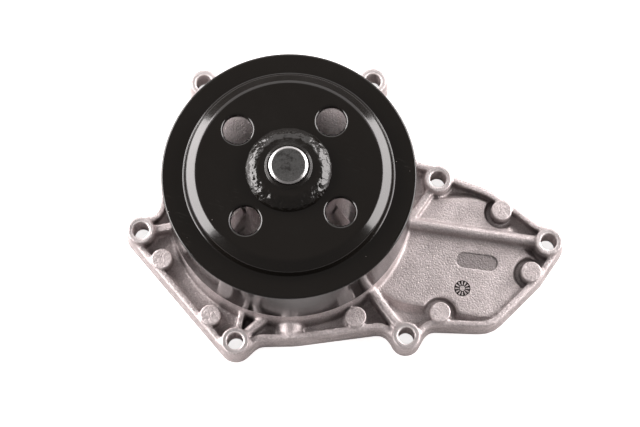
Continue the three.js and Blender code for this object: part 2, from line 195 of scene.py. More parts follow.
def blend_colours(tree, share, first, second):
    """The first colour where `share` is 0 and the second where it is 1."""
    return add(tree, "Mix", {0: share, 6: first, 7: second}, data_type="RGBA").outputs[2]


def blend_values(tree, share, first, second):
    """The same for two plain values."""
    return add(tree, "Mix", {0: share, 2: first, 3: second}, data_type="FLOAT").outputs[0]


def matches(tree, value, level, tolerance):
    """1 where `value` lies within a tolerance of a level, else 0."""
    return add(tree, "Math", {0: value, 1: level, 2: tolerance}, operation="COMPARE").outputs[0]


def position(tree):
    """The point being shaded, in metres of the pump's own frame."""
    return add(tree, "TexCoord").outputs["Object"]


def height_of(tree, place):
    """The height of a position above the joint face."""
    return add(tree, "SeparateXYZ", {0: place}).outputs[2]


def across(tree, place):
    """A position with its height left out."""
    return add(tree, "VectorMath", {0: place, 1: (1, 1, 0)}, operation="MULTIPLY").outputs[0]


def from_axis(tree, place):
    """The distance of a position from the shaft's axis."""
    return add(tree, "VectorMath", {0: across(tree, place)}, operation="LENGTH").outputs["Value"]


print("node helpers ready")

# %% [markdown]
# ## Shared surface effects
# Several finishes need the same few effects: a grain, worn edges, dust, turning lines. Each is
# built once as a node group with named inputs and outputs. The groups only put
# out masks and heights that vary over the surface. The shader itself stays in the material.

# %% Group helper
def group(name, inputs, outputs):
    """A new shader node group, its input node and its output node."""
    tree = bpy.data.node_groups.new(name, "ShaderNodeTree")
    for title, value in inputs:
        socket = tree.interface.new_socket(title, in_out="INPUT", socket_type="NodeSocketFloat")
        socket.default_value = value
    for title in outputs:
        tree.interface.new_socket(title, in_out="OUTPUT", socket_type="NodeSocketFloat")
    return tree, tree.nodes.new("NodeGroupInput"), tree.nodes.new("NodeGroupOutput")


def give(tree, result, **outputs):
    """Links what a group puts out to its output node."""
    for key, value in outputs.items():
        tree.links.new(value, result.inputs[key])
    print("group", tree.name, "gives", list(outputs))


def use(tree, name, **inputs):
    """The outputs of the group `name`, placed in a material's tree with its inputs set."""
    return add(tree, "Group", inputs, node_tree=bpy.data.node_groups[name]).outputs


print("group helpers ready")

# %% [markdown]
# ### Grain
# The skin of a die casting copies the fine roughness of a blasted steel mould, with slightly
# larger clouds where the metal froze at different speeds. Three noises of different sizes add
# up to it: a coarse one for the clouds, a middle one for the grain, and a cell pattern for
# small pits. The size input is the width of one grain in metres.

# %% Grain group
tree, given, result = group(
    "grain", [("Size", 0.0007)], ["Height", "Cloud", "Speckle"])
place = position(tree)
fine_scale = maths(tree, "DIVIDE", 1.0, given.outputs["Size"])
fine = clouds(tree, place, fine_scale, 3.0, 0.6)
coarse = clouds(tree, place, times(tree, fine_scale, 0.09), 4.0, 0.6)
pit = add(tree, "TexVoronoi", {"Vector": place, "Scale": times(tree, fine_scale, 0.62)})
pit_depth = steps(tree, pit.outputs["Distance"], [(0.0, 0.0), (0.3, 1.0)])
height = maths(tree, "ADD", times(tree, fine, 0.7),
               times(tree, pit_depth, 0.3))
give(tree, result, Height=height,
     Cloud=steps(tree, coarse, [(0.32, 0.0), (0.68, 1.0)]),
     Speckle=steps(tree, fine, [(0.3, 0.0), (0.7, 1.0)]))

# %% [markdown]
# ### Edges and hollows
# The materials use these masks to paint a highlight on raised edges and painted shade into the
# corners of pockets. Cycles gives the local curvature as Pointiness, which reads over 0.5 on a
# ridge and under 0.5 in a groove. Ambient occlusion adds the wider pockets, where little light
# gets in.

# %% Edge group
tree, given, result = group(
    "edges", [("Reach", 0.004), ("Contrast", 1.0)], ["Ridge", "Hollow"])
curve = add(tree, "NewGeometry").outputs["Pointiness"]
lean = times(tree, maths(tree, "SUBTRACT", curve, 0.5), given.outputs["Contrast"])
ridge = steps(tree, maths(tree, "ADD", lean, 0.5), [(0.51, 0.0), (0.60, 1.0)])
pocket = add(tree, "AmbientOcclusion", {"Distance": given.outputs["Reach"]}, samples=6)
hollow = maths(tree, "SUBTRACT", 1.0, pocket.outputs["AO"], clamp=True)
give(tree, result, Ridge=ridge, Hollow=hollow)

# %% [markdown]
# ### Dust and scuffs
# A part that has been boxed and handled carries specks of dust and short rubbed marks. Dust is
# a scatter of small cells, of which only some reach the surface. Scuffs are a noise drawn out
# into thin streaks and cut off so that only its peaks remain, in a few patches.

# %% Dust group
PATCHES_PER_METRE = 42.0
STREAK_TURN = 0.35
STREAK_STRETCH = (260, 1900, 400)

tree, given, result = group(
    "dust", [("Spacing", 0.0022), ("Amount", 0.25)], ["Speck", "Scuff"])
place = position(tree)
dot_scale = maths(tree, "DIVIDE", 1.0, given.outputs["Spacing"])
dots = add(tree, "TexVoronoi", {"Vector": place, "Scale": dot_scale, "Randomness": 1.0})
chance = add(tree, "SeparateColor", {"Color": dots.outputs["Color"]}).outputs[0]
picked = maths(tree, "LESS_THAN", chance, given.outputs["Amount"])
dot = steps(tree, dots.outputs["Distance"], [(0.04, 1.0), (0.11, 0.0)])
patch = clouds(tree, place, PATCHES_PER_METRE, 2.0)
dusty = steps(tree, patch, [(0.46, 0.0), (0.62, 1.0)])
speck = times(tree, times(tree, dot, picked), dusty)
turned = add(tree, "Mapping", {"Vector": place, "Rotation": (0, 0, STREAK_TURN)})
drawn = add(tree, "Mapping", {"Vector": turned.outputs[0], "Scale": STREAK_STRETCH})
streak = clouds(tree, drawn.outputs[0], 1.0, 2.0)
worn = steps(tree, patch, [(0.60, 0.0), (0.70, 1.0)])
scuff = times(tree, steps(tree, streak, [(0.60, 0.0), (0.74, 1.0)]), worn)
give(tree, result, Speck=speck, Scuff=scuff)

# %% [markdown]
# ### Turning lines
# A lathe tool leaves a fine spiral on whatever it faces or bores. The distance from the shaft's
# axis drives a sine wave, and a little noise keeps the lines from looking ruled. Along the
# axis the same wave runs on the height instead, so both faces and bores get lines.

# %% Turning group
SHAKES_PER_METRE = 260.0

tree, given, result = group(
    "turning", [("Pitch", 0.0002), ("Wobble", 0.4)], ["Height"])
place = position(tree)
travel = maths(tree, "ADD", from_axis(tree, place), height_of(tree, place))
shake = clouds(tree, place, SHAKES_PER_METRE, 2.0)
turns = maths(tree, "ADD", maths(tree, "DIVIDE", travel, given.outputs["Pitch"]),
              times(tree, shake, given.outputs["Wobble"]))
wave = maths(tree, "SINE", times(tree, turns, 2 * math.pi))
give(tree, result, Height=maths(tree, "ADD", times(tree, wave, 0.5), 0.5))

# %% [markdown]
# ### Drilled holes
# The seven bolt holes are drilled after casting, so their walls are bare metal, and the casting's
# finish also paints light on them. The distance from each hole's axis, measured across it, tells
# whether a point is in a hole.

# %% Bore group
BOSSES = [(111.6, -16.8), (64.3, 11.4), (36.2, 56.3), (-38.4, 55.6), (-64.7, -11.7),
          (-23.4, -60.4), (49.7, -58.1)]

tree, given, result = group("bores", [("Radius", 0.0042)], ["Inside"])
place = position(tree)
flattened = across(tree, place)
inside = None
for x, y in BOSSES:
    apart = add(tree, "VectorMath", {0: flattened, 1: (x * MM, y * MM, 0)}, operation="DISTANCE")
    here = maths(tree, "LESS_THAN", apart.outputs["Value"], given.outputs["Radius"])
    inside = maths(tree, "MAXIMUM", inside, here) if inside else here
give(tree, result, Inside=inside)

# %% [markdown]
# ## Finishes
# Every finish is one material: a Principled shader whose colour, roughness and bump come from
# the groups. Values that are the same all over are set on the shader itself. `finish` makes the
# bare material, and the cells below wire each one up.

# %% Material helper
def finish(name, **constants):
    """A new material: its tree and its Principled shader, with constant values set."""
    material = bpy.data.materials.new(name)
    material.use_nodes = True
    shader = material.node_tree.nodes["Principled BSDF"]
    for key, value in constants.items():
        shader.inputs[key.replace("_", " ")].default_value = value
    return material, material.node_tree, shader


def bump(tree, shader, height, depth):
    """Drives the shader's normal by a height map whose full swing is `depth` metres."""
    made = add(tree, "Bump", {"Height": height, "Distance": depth, "Strength": 1.0})
    tree.links.new(made.outputs[0], shader.inputs["Normal"])


def feed(tree, shader, **sockets):
    """Links values that vary over the surface to the shader's inputs."""
    for key, value in sockets.items():
        tree.links.new(value, shader.inputs[key.replace("_", " ")])


print("material helpers ready")

# %% [markdown]
# ### Cast aluminium
# Fresh die-cast aluminium is a warm light grey. Its raised edges get a painted highlight, and its
# corners and pockets get painted shade. The joint face and the boss tops are milled afterwards:
# there the grain gives way to a smoother, paler metal with fine tool lines. The height of the
# surface tells the two apart, since milled faces lie at known heights. The walls of the bolt
# holes are bare metal with painted light on them, while the floor of the sunk panel was never
# rubbed and stays dark.

# %% Cast aluminium
CAST_LIGHT = (0.78, 0.712, 0.708, 1)
CAST_DARK = (0.36, 0.318, 0.317, 1)
# The colour of the painted shade in pockets and corners.
CAST_PAINTED_SHADE = (0.10, 0.085, 0.082, 1)
# A pale bare-metal colour, which is also the painted highlight on ridges and the painted light in
# the bores.
CAST_BARE_AND_HIGHLIGHT = (0.84, 0.79, 0.785, 1)
PANEL_DARK = (0.22, 0.198, 0.196, 1)
MILLED_ROUGHNESS = 0.42
SKIN_RELIEF = 0.42 * MM
BOSS_TOP = 13.0
JOINT_FACE = 0.0
PANEL_FLOOR = 7.7
LEVEL_TOLERANCE = 0.05 * MM
BORE_REACH = 4.2 * MM

cast_aluminium, tree, shader = finish("cast_aluminium", Metallic=0.85)
grain = use(tree, "grain", Size=0.00075)
edges = use(tree, "edges", Reach=0.007, Contrast=1.0)
inside = use(tree, "bores", Radius=BORE_REACH)["Inside"]
lines = use(tree, "turning", Pitch=0.0009, Wobble=1.4)
level = height_of(tree, position(tree))
milled = maths(tree, "MAXIMUM",
               maths(tree, "LESS_THAN", level, JOINT_FACE * MM + LEVEL_TOLERANCE),
               matches(tree, level, BOSS_TOP * MM, LEVEL_TOLERANCE))
in_panel = matches(tree, level, PANEL_FLOOR * MM, LEVEL_TOLERANCE)
mottling = maths(tree, "ADD", times(tree, grain["Cloud"], 0.4),
                 times(tree, grain["Speckle"], 0.6))
# Painted shade: ambient occlusion darkens pockets and corners, but not the bores.
painted_shade = times(tree, maths(tree, "POWER", edges["Hollow"], 1.8),
             maths(tree, "SUBTRACT", 1.0, inside))
skin = blend_colours(tree, mottling, CAST_DARK, CAST_LIGHT)
skin = blend_colours(tree, painted_shade, skin, CAST_PAINTED_SHADE)
# Painted highlight on the ridges and painted light on the bare bore walls; the milled faces and the
# sunk panel take their own tones.
for mask, share, colour in ((inside, 0.85, CAST_BARE_AND_HIGHLIGHT), (edges["Ridge"], 0.35, CAST_BARE_AND_HIGHLIGHT),
                            (milled, 0.35, CAST_BARE_AND_HIGHLIGHT), (in_panel, 0.75, PANEL_DARK)):
    skin = blend_colours(tree, times(tree, mask, share), skin, colour)
cast_rough = add(tree, "MapRange", {"Value": grain["Speckle"], "To Min": 0.46, "To Max": 0.62})
milled_relief = maths(tree, "ADD", times(tree, lines["Height"], 0.1),
                      times(tree, grain["Height"], 0.5))
feed(tree, shader, Base_Color=skin,
     Roughness=blend_values(tree, milled, cast_rough.outputs[0], MILLED_ROUGHNESS))
bump(tree, shader, blend_values(tree, milled, grain["Height"], milled_relief), SKIN_RELIEF)
print("material", cast_aluminium.name, "nodes", len(tree.nodes))

# %% [markdown]
# ### Date mark finish
# The date mark is near black, except on the tops of its raised ticks and centre, which are bare
# metal. A second small material is simpler here than one more mask in the casting's own.

# %% Date mark finish
MARK_DARK = (0.035, 0.028, 0.027, 1)
TICK_LEVEL = 8.0

cast_mark, tree, shader = finish("cast_mark", Metallic=0.7)
grain = use(tree, "grain", Size=0.0006)
level = height_of(tree, position(tree))
tick = maths(tree, "GREATER_THAN", level, TICK_LEVEL * MM)
bare = blend_colours(tree, grain["Speckle"], CAST_DARK, CAST_LIGHT)
mark_roughness = add(tree, "MapRange", {"Value": grain["Speckle"], "To Min": 0.45, "To Max": 0.65})
feed(tree, shader, Base_Color=blend_colours(tree, tick, MARK_DARK, bare),
     Roughness=mark_roughness.outputs[0])
bump(tree, shader, grain["Height"], 0.1 * MM)
print("material", cast_mark.name)

# %% [markdown]
# ### Gloss black coating
# The pulley is dipped in a thin gloss black paint. It is almost a mirror, so its small faults
# matter: a faint orange-peel ripple bends the reflections, dust sits on the front, and rubbed
# patches are slightly less glossy. On the hub's bead the same paint is a little duller, with a
# finer ripple.

# %% Black coating
BLACK = (0.0062, 0.0050, 0.0040, 1)
DUST_GREY = (0.20, 0.18, 0.165, 1)


def coating(name, glossiest, dullest, ripple, depth, scuffing):
    """Black paint between two roughnesses, with a ripple of one size, dust and rubbed marks."""
    material, tree, shader = finish(name, IOR=1.55)
    place = position(tree)
    dust = use(tree, "dust", Spacing=0.0026, Amount=0.16)
    peel = clouds(tree, place, 1 / ripple, 2.0, 0.45)
    haze = clouds(tree, place, 55.0, 5.0, 0.65)
    marks = maths(tree, "MAXIMUM", dust["Speck"], times(tree, dust["Scuff"], scuffing))
    gloss = add(tree, "MapRange", {"Value": haze, "From Min": 0.35, "From Max": 0.75,
                                   "To Min": glossiest, "To Max": dullest})
    rough = maths(tree, "ADD", gloss.outputs[0], times(tree, marks, 0.5), clamp=True)
    feed(tree, shader, Base_Color=blend_colours(tree, marks, BLACK, DUST_GREY), Roughness=rough)
    bump(tree, shader, peel, depth)
    return material


black_coating = coating("black_coating", 0.11, 0.21, 0.0032, 0.012 * MM, scuffing=0.07)
black_bead = coating("black_bead", 0.15, 0.28, 0.0009, 0.05 * MM, scuffing=0.0)
print("coatings:", [m.name for m in (black_coating, black_bead)])

# %% [markdown]
# ### Ground and turned steel
# The shaft is ground round, and its end face was only cut and faced, so it is duller and
# mottled by old oil and the start of tarnish. Bearing steel is finer and more even.

# %% Steels
GROUND_BRIGHT = (0.72, 0.71, 0.71, 1)
GROUND_ROUGHNESS = 0.30


def steel(name, dark, light, low, high, pitch, depth, mottle=60.0, rim=None):
    """A turned metal whose tarnish varies. Beyond the radius `rim` it is freshly ground."""
    material, tree, shader = finish(name, Metallic=1.0)
    place = position(tree)
    stains = steps(tree, clouds(tree, place, mottle, 5.0, 0.62), [(0.36, 0.0), (0.64, 1.0)])
    edges = use(tree, "edges", Reach=0.003, Contrast=1.3)
    colour = blend_colours(tree, stains, (*dark, 1), (*light, 1))
    # Painted highlight: the ridges are lightened.
    painted_edge_highlight = tuple(min(1.0, 1.35 * v) for v in light)
    colour = blend_colours(tree, times(tree, edges["Ridge"], 0.6), colour,
                           (*painted_edge_highlight, 1))
    rough = add(tree, "MapRange", {"Value": stains, "To Min": high, "To Max": low}).outputs[0]
    if rim:
        ground = maths(tree, "GREATER_THAN", from_axis(tree, place), rim)
        colour = blend_colours(tree, ground, colour, GROUND_BRIGHT)
        rough = blend_values(tree, ground, rough, GROUND_ROUGHNESS)
    lines = use(tree, "turning", Pitch=pitch, Wobble=0.7)
    feed(tree, shader, Base_Color=colour, Roughness=rough)
    bump(tree, shader, lines["Height"], depth)
    return material


shaft_steel = steel("shaft_steel", (0.06, 0.058, 0.056), (0.34, 0.34, 0.335), 0.24, 0.42,
                    0.00035, 0.004 * MM, mottle=420.0, rim=7.15 * MM)
bearing_steel = steel("bearing_steel", (0.42, 0.42, 0.43), (0.58, 0.58, 0.59), 0.14, 0.26,
                      0.0002, 0.001 * MM)
stainless = steel("stainless", (0.46, 0.46, 0.47), (0.62, 0.62, 0.63), 0.18, 0.34,
                  0.0005, 0.002 * MM)
impeller_steel = steel("impeller_steel", (0.40, 0.41, 0.42), (0.60, 0.61, 0.62), 0.30, 0.46,
                       0.0006, 0.003 * MM, mottle=140.0)
print("steels:", [m.name for m in (shaft_steel, bearing_steel, stainless, impeller_steel)])

# %% [markdown]
# ### Rubber, carbon, ceramic and nylon
# The sealing parts are not metal. Moulded rubber is near black with a dull bloom, carbon is a
# lapped dark grey with small pores, the seat is a fine white ceramic, and the ball cages are
# cream nylon. One recipe serves all four: two tones, a roughness range and a grain.

# %% Non-metals
def moulded(name, dark, light, low, high, size, depth, **constants):
    """A non-metal with a grain of one size, between two tones and two roughnesses."""
    material, tree, shader = finish(name, **constants)
    grain = use(tree, "grain", Size=size)
    edges = use(tree, "edges", Reach=0.002, Contrast=1.0)
    colour = blend_colours(tree, grain["Cloud"], (*dark, 1), (*light, 1))
    # Painted highlight: the ridges are lightened.
    lifted = tuple(min(1.0, 1.5 * v + 0.01) for v in light)
    colour = blend_colours(tree, times(tree, edges["Ridge"], 0.5), colour,
                           (*lifted, 1))
    rough = add(tree, "MapRange", {"Value": grain["Speckle"], "To Min": low, "To Max": high})
    feed(tree, shader, Base_Color=colour, Roughness=rough.outputs[0])
    bump(tree, shader, grain["Height"], depth)
    return material


seal_rubber = moulded("seal_rubber", (0.012, 0.012, 0.013), (0.026, 0.025, 0.025),
                      0.5, 0.72, 0.0004, 0.03 * MM)
carbon = moulded("carbon", (0.020, 0.020, 0.022), (0.036, 0.036, 0.038),
                 0.30, 0.50, 0.00025, 0.012 * MM)
seat_ceramic = moulded("seat_ceramic", (0.74, 0.70, 0.63), (0.82, 0.79, 0.73),
                       0.16, 0.30, 0.0003, 0.006 * MM)
cage_nylon = moulded("cage_nylon", (0.58, 0.53, 0.41), (0.68, 0.63, 0.50),
                     0.36, 0.52, 0.0006, 0.015 * MM, Subsurface_Weight=0.08)
print("non-metals:", [m.name for m in (seal_rubber, carbon, seat_ceramic, cage_nylon)])

# %% [markdown]
# ### Floor
# The floor is a lit table of pale paper, which looks white without throwing much light on the
# pump. Its own light is only seen directly: Light Path tells a ray from the camera from the
# rays that bounce around.

# %% Floor finish
PAPER_DARK, PAPER_LIGHT = (0.58, 0.56, 0.555, 1), (0.61, 0.59, 0.585, 1)
PAPER_GLOW = (1, 0.99, 0.985, 1)
UNLIT = (0, 0, 0, 1)

floor_paper, tree, shader = finish("floor_paper", Roughness=0.75, Specular_IOR_Level=0.2,
                                   Emission_Strength=0.80)
paper = use(tree, "grain", Size=0.003)
seen = add(tree, "LightPath").outputs["Is Camera Ray"]
feed(tree, shader, Base_Color=blend_colours(tree, paper["Cloud"], PAPER_DARK, PAPER_LIGHT),
     Emission_Color=blend_colours(tree, seen, UNLIT, PAPER_GLOW))
floor_mesh.materials.append(floor_paper)
print("floor finish", floor_paper.name)

# %% [markdown]
# ## Turned pieces
# Most of the pump is round. A lathe in code does what a real lathe does: it takes the section
# of the piece as a line of corners, rounds each corner by its own radius, and spins the line
# about the axis. Blender's Screw modifier could spin it too, but plain vertices give exact
# rings and a clean mesh that needs no modifier.

# %% Rounded outline
def rounded(corners, pieces=5):
    """The closed outline through (radius, height, corner radius), in millimetres."""
    points = []
    for i, (x, y, size) in enumerate(corners):
        here = Vector((x, y))
        back = Vector(corners[i - 1][:2]) - here
        ahead = Vector(corners[(i + 1) % len(corners)][:2]) - here
        if size <= 0:
            points.append(here)
            continue
        half = back.angle(ahead) / 2
        reach = min(size / math.tan(half), 0.49 * back.length, 0.49 * ahead.length)
        centre = here + (back.normalized() + ahead.normalized()).normalized() * (
            reach / math.cos(half))
        first = here + back.normalized() * reach - centre
        last = here + ahead.normalized() * reach - centre
        swing = first.angle_signed(last)
        for k in range(pieces + 1):
            turn = Matrix.Rotation(-swing * k / pieces, 2)
            points.append(centre + turn @ first)
    return points


SQUARE = [(0, 0, 2), (9, 0, 2), (9, 9, 2), (0, 9, 2)]
print("a square with 2 mm corners becomes", len(rounded(SQUARE)), "points")

# %% [markdown]
# ### The lathe itself
# Each point of the section becomes a ring of vertices, and faces join ring to ring. An outline
# that starts and ends on the axis closes itself there, with a fan of triangles.

# %% Lathe
def placed(name, shape):
    """Turns a finished bmesh into an object at the origin, with its faces outward."""
    bmesh.ops.recalc_face_normals(shape, faces=shape.faces)
    mesh = bpy.data.meshes.new(name)
    shape.to_mesh(mesh)
    shape.free()
    piece = bpy.data.objects.new(name, mesh)
    bpy.context.scene.collection.objects.link(piece)
    return piece


def lathe(name, outline, segments=160, pieces=5, closed=True):
    """Spins an outline about Z. An open outline starts and ends on the axis."""
    line = rounded(outline, pieces) if closed else [Vector(p[:2]) for p in outline]
    shape = bmesh.new()
    rings = []
    for x, y in line:
        if x < 1e-6:
            rings.append([shape.verts.new((0, 0, y * MM))])
            continue
        rings.append([
            shape.verts.new((x * MM * math.cos(a), x * MM * math.sin(a), y * MM))
            for a in (2 * math.pi * k / segments for k in range(segments))])
    pairs = list(zip(rings, rings[1:]))
    if closed:
        pairs.append((rings[-1], rings[0]))
    for low, high in pairs:
        if len(low) == len(high) == 1:
            continue
        for k in range(segments):
            n = (k + 1) % segments
            corners = [low[k % len(low)], low[n % len(low)], high[n % len(high)],
                       high[k % len(high)]]
            shape.faces.new(list(dict.fromkeys(corners)))
    return placed(name, shape)


print("lathe ready")

# %% [markdown]
# ### Lofted skins
# A spring, a vane or a raised tick is not round about the shaft. It is drawn as a row of rings
# with the same number of points, and a loft stretches one closed skin over them.

# %% Loft
def loft(name, rings, wall=False):
    """A closed skin through rings of (x, y, z) points in millimetres.

    Its ends are capped by one face each or, on a thin wall, by a strip of quads.
    """
    shape = bmesh.new()
    rows = [[shape.verts.new(Vector(point) * MM) for point in ring] for ring in rings]
    for low, high in zip(rows, rows[1:]):
        for k in range(len(low)):
            n = (k + 1) % len(low)
            shape.faces.new((low[k], low[n], high[n], high[k]))
    for row in (rows[0][::-1], rows[-1]):
        if not wall:
            shape.faces.new(row)
            continue
        for k in range(len(row) // 2 - 1):
            shape.faces.new((row[k], row[k + 1], row[-k - 2], row[-k - 1]))
    return placed(name, shape)


print("loft ready")

# %% [markdown]
# ## Finishing a piece
# Each piece ends the same way. It gets smooth shading with crisp edges where two faces meet
# sharply, its material and the body that it rides on, and the CAD nodes that it stands for are
# hidden.

# %% Finishing and cutting helpers
def complete(piece, body, nodes, material, crisp=38):
    """Shades a piece, gives it its material, puts it on its body and hides the CAD nodes it stands
    for.
    """
    piece.data.materials.clear()
    piece.data.materials.append(material)
    piece.data.shade_smooth()
    piece.data.set_sharp_from_angle(angle=math.radians(crisp))
    flats = piece.modifiers.new("flats", "WEIGHTED_NORMAL")
    flats.keep_sharp = True
    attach(piece, body)
    if nodes:
        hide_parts(*nodes)
    print(piece.name, "on", body, "faces", len(piece.data.polygons))


def bake(piece):
    """Applies a piece's modifiers to its mesh."""
    bpy.context.view_layer.update()
    seen = piece.evaluated_get(bpy.context.evaluated_depsgraph_get())
    mesh = bpy.data.meshes.new_from_object(seen)
    piece.modifiers.clear()
    piece.data = mesh


def combine(piece, others, operation="DIFFERENCE"):
    """Cuts `others` out of a piece, or joins them to it, and removes them."""
    for other in others:
        tool = piece.modifiers.new("tool", "BOOLEAN")
        tool.operation = operation
        tool.solver = "MANIFOLD"
        tool.object = other
        bake(piece)
        bpy.data.objects.remove(other)


def moved(piece, x=0.0, y=0.0, z=0.0):
    """Shifts a piece's mesh by millimetres, so that its object stays at the origin."""
    piece.data.transform(Matrix.Translation(Vector((x, y, z)) * MM))
    return piece


print("finishing helpers ready")

# %% [markdown]
# ## Pulley
# The pulley is pressed from one steel sheet: a smooth drum for the belt, a flat front ring, a
# rounded step up to the raised web, and four round holes for a holding tool. The step starts
# as a shallow cone and ends in a steep foot, which gives one wide and one thin band of light.

# %% Pulley
WEB_FRONT = 65.2
PULLEY_OUTLINE = [
    (12.0, 62.2, 0.3), (37.2, 62.2, 2.5), (39.9, 60.2, 2.0), (41.2, 56.0, 2.4), (50.0, 56.0, 2.0),
    (50.0, 24.3, 0.8), (52.6, 24.3, 0.8), (52.6, 59.0, 0.9), (43.5, 59.0, 0.9),
    (42.2, 62.3, 1.6), (38.2, WEB_FRONT, 3.2), (12.0, WEB_FRONT, 0.3),
]
HOLE_COUNT = 4
HOLE_RADIUS = 6.0
HOLE_CIRCLE = 27.4
FIRST_HOLE = math.radians(140.4)
EDGE = 1.4
PUNCH_TOP, PUNCH_FOOT = 66.2, 60.5

pulley = lathe("pulley_sheet", PULLEY_OUTLINE, segments=256, pieces=9)
# The punch is waisted, so that the edges of the hole come out rounded.
flare = [(HOLE_RADIUS + EDGE * (1 - math.sin(a)), WEB_FRONT + 0.02 - EDGE * (1 - math.cos(a)))
         for a in (math.pi / 2 * i / 7 for i in range(8))]
punch_line = [(0, PUNCH_TOP), (HOLE_RADIUS + EDGE + 0.05, PUNCH_TOP), *flare, (6.0, 63.2),
              (6.1, 62.6), (6.5, 61.9), (6.5, PUNCH_FOOT), (0, PUNCH_FOOT)]
punches = []
for k in range(HOLE_COUNT):
    turn = FIRST_HOLE + 2 * math.pi * k / HOLE_COUNT
    punch = lathe("punch", punch_line, segments=72, closed=False)
    punches.append(moved(punch, HOLE_CIRCLE * math.cos(turn), HOLE_CIRCLE * math.sin(turn)))
combine(pulley, punches)
complete(pulley, "rotor", ["pulley"], black_coating)

# %% [markdown]
# ## Hub and its bead
# The hub sleeve is pressed on the shaft, and a thick bead ties the pulley's web to it, painted
# over in the same black. The bead is a shallow cone, lumpy like a weld. Its ring is turned
# first, and then each point is pushed out or in by noise with lumps of three sizes. A bump map
# alone would leave the outline of the bead perfectly round.

# %% Hub
BEAD_FOOT, BEAD_CROWN = (17.7, 65.5), (12.0, 70.1)
BEAD_POINTS = 30
# Below 1 the section bulges less than an ellipse, so that it is nearly a cone.
BEAD_BULGE = 0.78
LUMPS = ((2.6, 0.28), (1.1, 0.15), (0.5, 0.05))

bead = []
for k in range(BEAD_POINTS + 1):
    turn = math.pi / 2 * k / BEAD_POINTS
    out, up = math.cos(turn) ** (1 / BEAD_BULGE), math.sin(turn) ** (1 / BEAD_BULGE)
    bead.append((BEAD_CROWN[0] + (BEAD_FOOT[0] - BEAD_CROWN[0]) * out,
                 BEAD_FOOT[1] + (BEAD_CROWN[1] - BEAD_FOOT[1]) * up, 0))
hub = lathe("pulley_hub_sleeve", [
    (8.3, 61.2, 0.2), (11.7, 61.2, 0.3), (11.7, 65.5, 0), *bead, (9.7, 70.3, 0.3),
    (8.9, 71.4, 0.3), (8.3, 71.4, 0.1)], segments=540)
outward = [v.normal.copy() for v in hub.data.vertices]
for vertex, direction in zip(hub.data.vertices, outward):
    x, y, z = vertex.co / MM
    reach = (math.hypot(x, y) - BEAD_CROWN[0]) / (BEAD_FOOT[0] - BEAD_CROWN[0])
    if z < BEAD_FOOT[1] + 0.05 or reach <= 0:
        continue
    ease = min(1.0, 4 * reach) * min(1.0, 1.5 * (z - BEAD_FOOT[1]))
    lump = sum(high * noise.noise(vertex.co / MM / size) for size, high in LUMPS)
    vertex.co += direction * (ease * lump * MM)
complete(hub, "rotor", ["pulley_hub"], black_bead, crisp=50)

# %% [markdown]
# ## Shaft
# The shaft is also the inner race of its bearing: two shallow grooves carry the balls. Its end
# is bare steel with a bright ground chamfer.

# %% Shaft
def groove(radius, height, size, start, end, pieces=12):
    """Points along an arc in a turned section, from one angle to another in degrees."""
    angles = [math.radians(start + (end - start) * k / pieces) for k in range(pieces + 1)]
    return [(radius + size * math.cos(a), height + size * math.sin(a)) for a in angles]


SHAFT = 8.0
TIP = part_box("shaft")[1].z / MM
BALL_SIZE = 2.7
BALL_CIRCLE = 10.4
BALL_ROWS = {"rear": 36.2, "front": 52.4}
PLAY = 0.15
track = BALL_SIZE + PLAY
reach = math.degrees(math.acos((SHAFT - BALL_CIRCLE) / track))
shaft_line = [
    (0, 0.5), (1.6, 0.5), (2.2, 0.0), (7.2, 0.0), (7.75, 0.25), (SHAFT, 0.8),
    *(p for row in ("rear", "front")
      for p in groove(BALL_CIRCLE, BALL_ROWS[row], track, 360 - reach, reach)),
    (SHAFT, TIP - 0.85), (7.9, TIP - 0.66), (7.0, TIP - 0.08), (6.8, TIP), (6.4, TIP - 0.02),
    (0, TIP - 0.08),
]
shaft = lathe("shaft_turned", shaft_line, segments=192, closed=False)
complete(shaft, "rotor", ["shaft"], shaft_steel, crisp=24)

# %% [markdown]
# ## Bearing
# Seven balls in each of two rows run between the shaft and a hardened outer ring, kept apart
# by crown-shaped nylon cages. A rubber seal closes each end. The balls and the cages turn on
# their own bodies, slower than the shaft, as in the real bearing.

# %% Bearing ring and seals
RACE, RING_OUTER = 12.7, 15.0
RING_BACK, RING_FRONT = (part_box("bearing_outer_ring")[k].z / MM for k in (0, 1))
reach = math.degrees(math.acos((RACE - BALL_CIRCLE) / track))
ring_line = [
    *((*p, 0) for row in ("front", "rear")
      for p in groove(BALL_CIRCLE, BALL_ROWS[row], track, reach, -reach)),
    (RACE, RING_BACK, 0.3), (RING_OUTER, RING_BACK, 0.7), (RING_OUTER, RING_FRONT, 0.7),
    (RACE, RING_FRONT, 0.3),
]
ring = lathe("bearing_ring_ground", ring_line, segments=128)
complete(ring, "body", ["bearing_outer_ring"], bearing_steel)
for side, outside, inward in (("front", RING_FRONT - 0.4, -1), ("rear", RING_BACK + 0.4, 1)):
    lip_line = [(8.3, 0.0, 0.15), (9.0, 0.25, 0.2), (10.0, 0.0, 0.3), (11.2, 0.3, 0.3),
                (12.4, 0.0, 0.2), (12.4, 1.4, 0.2), (9.7, 1.4, 0.4), (8.3, 0.6, 0.1)]
    line = [(r, outside + inward * h, size) for r, h, size in lip_line]
    lip = lathe(f"bearing_lip_{side}", line, segments=96)
    complete(lip, "body", [f"bearing_seal_{side}"], seal_rubber)

